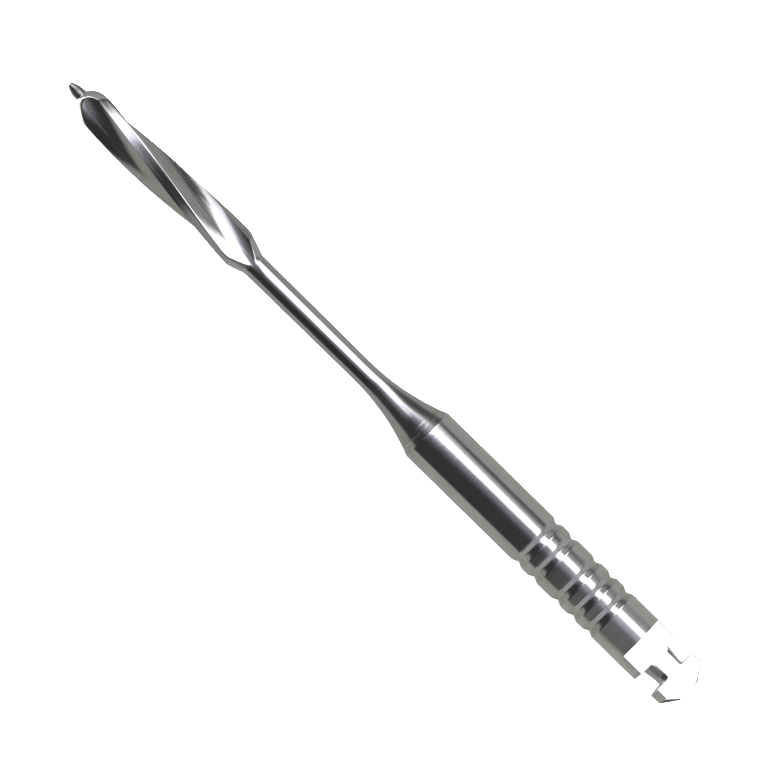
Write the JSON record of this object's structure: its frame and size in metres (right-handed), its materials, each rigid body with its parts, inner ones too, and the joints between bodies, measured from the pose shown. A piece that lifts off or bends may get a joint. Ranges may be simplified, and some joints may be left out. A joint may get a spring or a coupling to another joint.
{
  "type": "endodontic reamer",
  "caption": "Slender steel root-canal reamer: twisted fluted head with a smooth pilot tip, thin neck, and a ringed cylindrical shank with a latch groove and flat.",
  "frame": {"origin": "centre of the flat end face of the shank, the end that goes into the handpiece", "axes": "+X along the tool to the pilot tip, +Z out of the drive flat, +Y to the side"},
  "size_m": [0.034, 0.0024, 0.0024],
  "materials": {
    "shank_steel": "polished, with very fine turning lines",
    "braze_filler": "satin silver-brazing filler",
    "cutter_steel": "polished, ground along the flutes"
  },
  "bodies": {
    "root": {"shank": "shank_steel", "braze_joint": "braze_filler", "working_part": "cutter_steel"}
  },
  "joints": []
}
